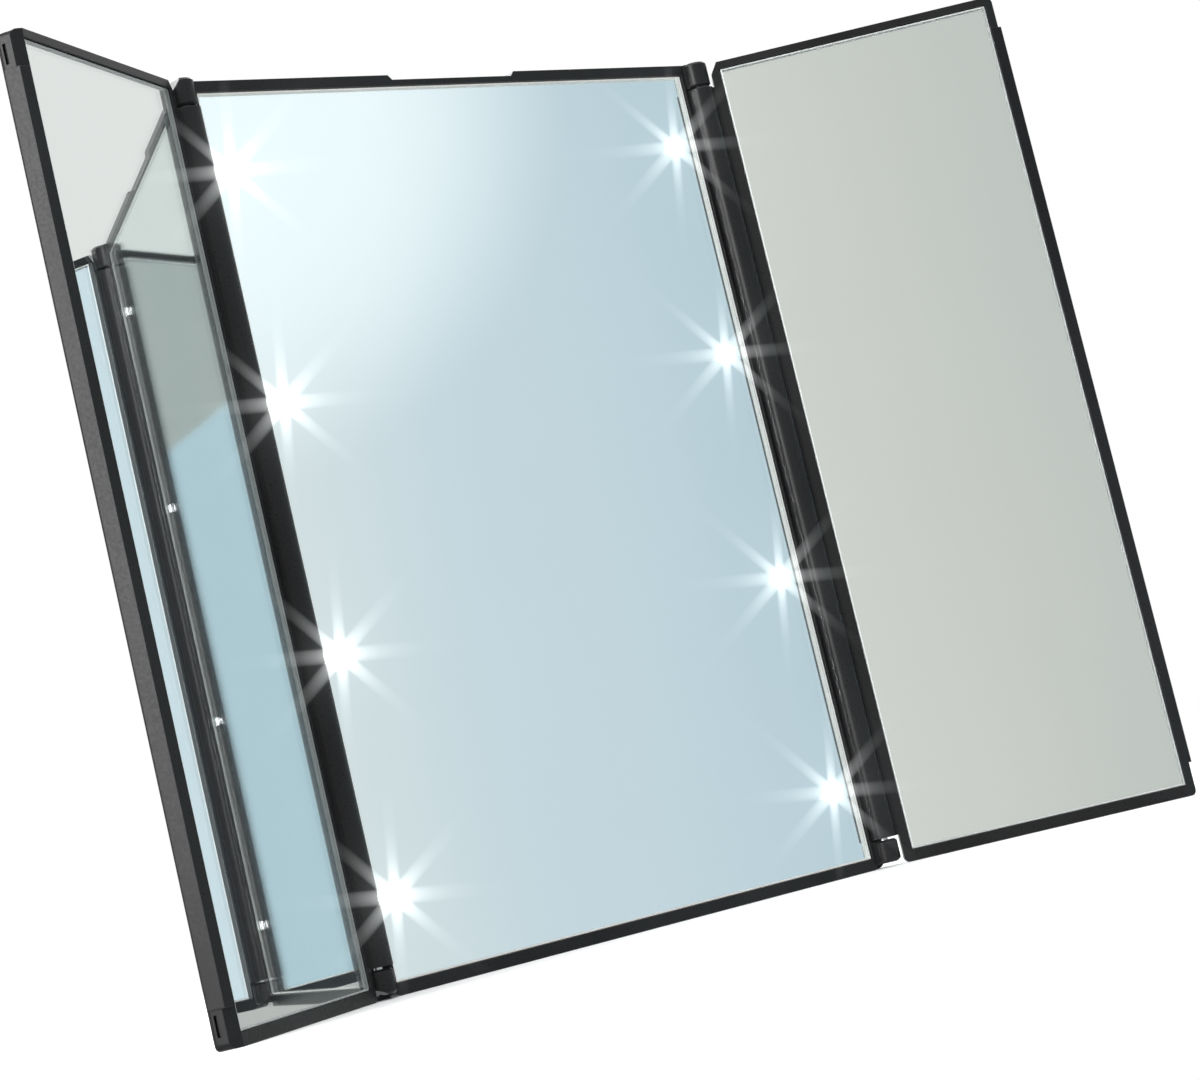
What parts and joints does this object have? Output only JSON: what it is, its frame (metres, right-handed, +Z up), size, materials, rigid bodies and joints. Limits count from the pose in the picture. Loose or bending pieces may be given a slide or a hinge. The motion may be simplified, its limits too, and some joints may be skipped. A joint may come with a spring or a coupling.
{
  "type": "lighted folding vanity mirror",
  "caption": "Three-panel folding vanity mirror with lamps behind clear windows along both sides of the centre pane, black case, hinged wings, sliding battery door and switch.",
  "frame": {"origin": "on the centre panel's bottom face, at mid width and mid depth", "axes": "+X to the viewer's right along the centre panel, +Y away from the viewer, +Z up"},
  "size_m": [0.2141, 0.0475, 0.1542],
  "materials": {
    "black_case": "semi-gloss moulded ABS",
    "black_cover": "fine satin moulded ABS",
    "clear_glass": "polished float glass with ground edges",
    "silvering": "silver coating on the back of the glass",
    "foam_tape": "closed-cell foam with adhesive",
    "circuit_board": "white solder mask on glass-epoxy board",
    "resistor_black": "chip resistor",
    "plated_steel": "nickel-plated sheet",
    "black_knob": "satin moulded plastic",
    "cell_steel": "nickel-plated cell can",
    "spring_brass": "spring brass strip",
    "red_wire": "PVC insulation",
    "black_wire": "PVC insulation",
    "solder": "tin solder",
    "screw_steel": "blackened steel",
    "pin_steel": "drawn steel wire",
    "lamp_white": "lit white lamp face"
  },
  "bodies": {
    "centre_panel": {"front_frame": "black_case", "back_cover": "black_cover", "centre_mirror_glass": "clear_glass", "centre_silvering": "silvering", "centre_tape": "foam_tape", "led_board_left": "circuit_board", "led_board_right": "circuit_board", "leds_left": "lamp_white", "leds_right": "lamp_white", "control_board": "circuit_board", "resistors": "resistor_black", "switch_housing": "plated_steel", "coin_cell_lower": "cell_steel", "coin_cell_upper": "cell_steel", "negative_contacts": "spring_brass", "positive_contacts": "spring_brass", "cell_link": "spring_brass", "feed_lead": "red_wire", "return_lead": "black_wire", "left_lamp_lead": "black_wire", "right_lamp_lead": "red_wire", "solder_pads": "solder", "case_screws": "screw_steel", "left_hinge_pins": "pin_steel", "right_hinge_pins": "pin_steel"},
    "left_wing": {"left_wing_frame": "black_case", "left_wing_cover": "black_cover", "left_wing_mirror_glass": "clear_glass", "left_wing_silvering": "silvering", "left_wing_tape": "foam_tape"},
    "right_wing": {"right_wing_frame": "black_case", "right_wing_cover": "black_cover", "right_wing_mirror_glass": "clear_glass", "right_wing_silvering": "silvering", "right_wing_tape": "foam_tape"},
    "switch_slider": {"switch_knob": "black_knob"},
    "battery_cover": {"battery_door": "black_cover"}
  },
  "joints": [
    {"name": "left_wing_hinge", "type": "hinge", "parent": "centre_panel", "child": "left_wing", "pos_m": [-0.05865, -0.0049, 0.0771], "axis": [0, 0, 1], "range_deg": [-32.3, 147.7]},
    {"name": "right_wing_hinge", "type": "hinge", "parent": "centre_panel", "child": "right_wing", "pos_m": [0.05865, -0.0049, 0.0771], "axis": [0, 0, -1], "range_deg": [-41.5, 138.5]},
    {"name": "switch_slide", "type": "slide", "parent": "centre_panel", "child": "switch_slider", "axis": [0, 0, 1], "range_m": [0, 0.003]},
    {"name": "battery_door_slide", "type": "slide", "parent": "centre_panel", "child": "battery_cover", "axis": [1, 0, 0], "range_m": [0, 0.03]}
  ]
}
